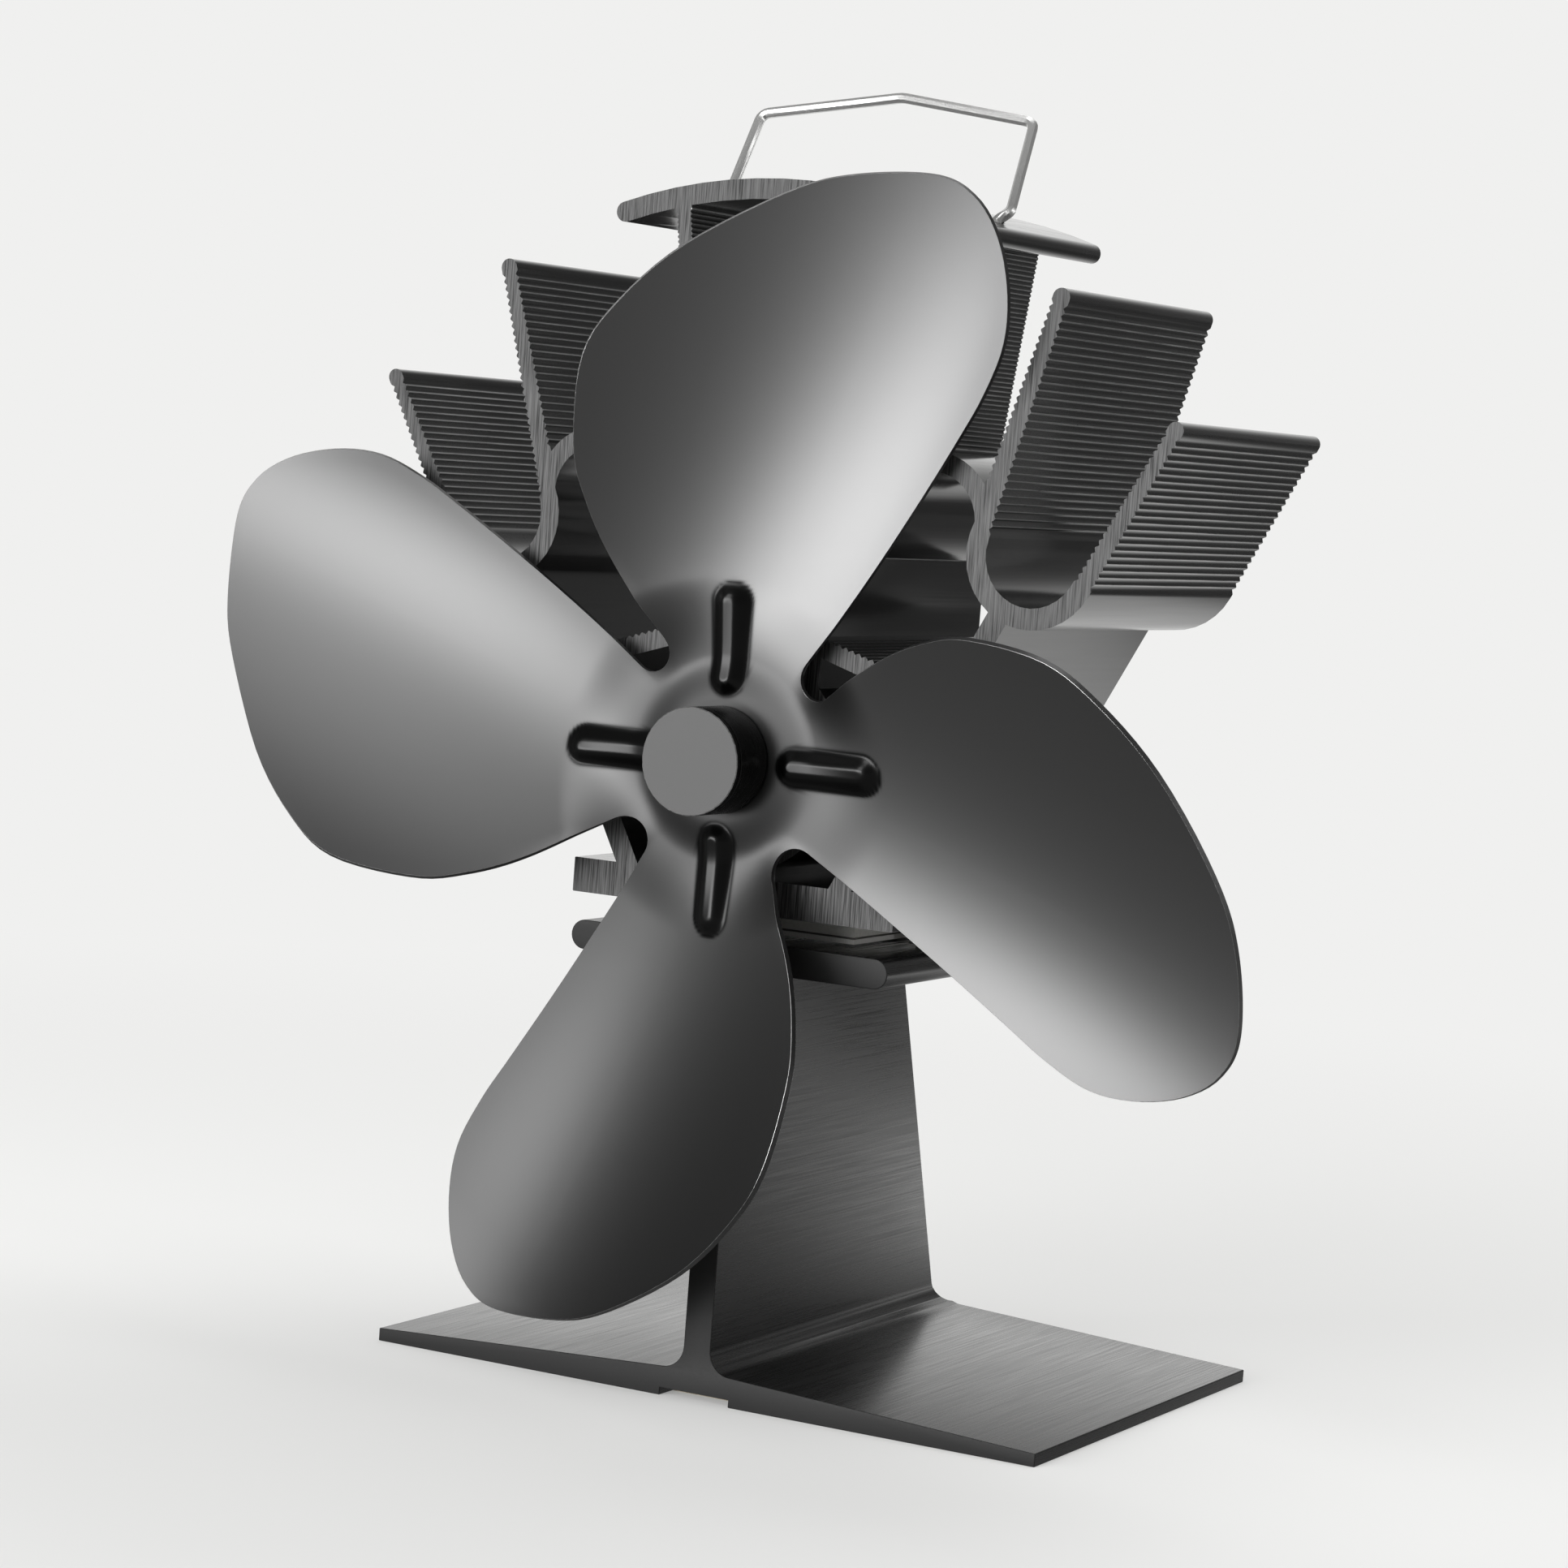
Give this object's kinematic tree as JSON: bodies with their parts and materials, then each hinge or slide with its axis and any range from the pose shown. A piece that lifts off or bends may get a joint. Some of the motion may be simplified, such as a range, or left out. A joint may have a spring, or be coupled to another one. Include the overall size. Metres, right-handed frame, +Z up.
{
  "type": "stove fan",
  "caption": "Heat-powered fan for a stove top: pressed fan on a motor in a ribbed heat sink, thermoelectric module, base stand and wire carrying handle.",
  "frame": {"origin": "on the surface the base stands on, under the middle of the whole object's box", "axes": "+Z up, the fan blows towards -Y, +X to the right seen from the front"},
  "size_m": [0.1656, 0.0966, 0.1908],
  "materials": {
    "black_anodised_aluminium": "black anodised, brushed",
    "satin_anodised_sheet": "dark satin anodised",
    "turned_grey_aluminium": "turned, anodised",
    "stainless_wire": "bright drawn",
    "zinc_plated_steel": "zinc plated",
    "alumina_ceramic": "matt white ceramic",
    "bismuth_telluride": "dull metallic",
    "white_silicone": "matt",
    "grey_silicone_rubber": "matt",
    "insulating_plastic": "matt",
    "nickel_plated_steel": "nickel plated",
    "black_nylon": "moulded",
    "ferrite_magnet": "sintered",
    "sintered_bronze": "sintered, oiled",
    "enamelled_copper": "enamelled wire",
    "laminated_steel": "stamped",
    "brass": "turned",
    "red_silicone_insulation": "smooth",
    "black_silicone_insulation": "smooth",
    "bimetal_strip": "rolled"
  },
  "bodies": {
    "frame": {"base_stand": "black_anodised_aluminium", "heat_sink": "black_anodised_aluminium", "bimetal_strip": "bimetal_strip", "bimetal_rivet": "zinc_plated_steel", "teg_hot_plate": "alumina_ceramic", "teg_cold_plate": "alumina_ceramic", "teg_edge_seal": "white_silicone", "teg_thermocouples": "bismuth_telluride", "clamp_screw_left": "zinc_plated_steel", "clamp_screw_right": "zinc_plated_steel", "insulating_bush_left": "insulating_plastic", "insulating_bush_right": "insulating_plastic", "motor_can": "nickel_plated_steel", "motor_end_cap": "black_nylon", "motor_sleeve": "grey_silicone_rubber", "motor_front_bearing": "sintered_bronze", "motor_rear_bearing": "sintered_bronze", "motor_magnet_left": "ferrite_magnet", "motor_magnet_right": "ferrite_magnet", "motor_brush_left": "enamelled_copper", "motor_brush_right": "enamelled_copper", "motor_terminal_left": "brass", "motor_terminal_right": "brass", "lead_positive": "red_silicone_insulation", "lead_negative": "black_silicone_insulation"},
    "rotor": {"motor_shaft": "zinc_plated_steel", "armature_core": "laminated_steel", "armature_coil_1": "enamelled_copper", "armature_coil_2": "enamelled_copper", "armature_coil_3": "enamelled_copper", "commutator": "enamelled_copper", "shaft_spacer": "brass", "fan_blades": "satin_anodised_sheet", "hub_body": "turned_grey_aluminium", "hub_cap": "turned_grey_aluminium", "hub_grub_screw": "zinc_plated_steel", "blade_retaining_ring": "zinc_plated_steel"},
    "handle": {"carry_handle": "stainless_wire"}
  },
  "joints": [
    {"name": "fan_spin", "type": "hinge", "parent": "frame", "child": "rotor", "pos_m": [0, -0.02809, 0.093], "axis": [0, -1, 0], "continuous": true},
    {"name": "handle_swing", "type": "hinge", "parent": "frame", "child": "handle", "pos_m": [0, -0.00369, 0.1706], "axis": [1, 0, 0], "range_deg": [0, 57]}
  ]
}
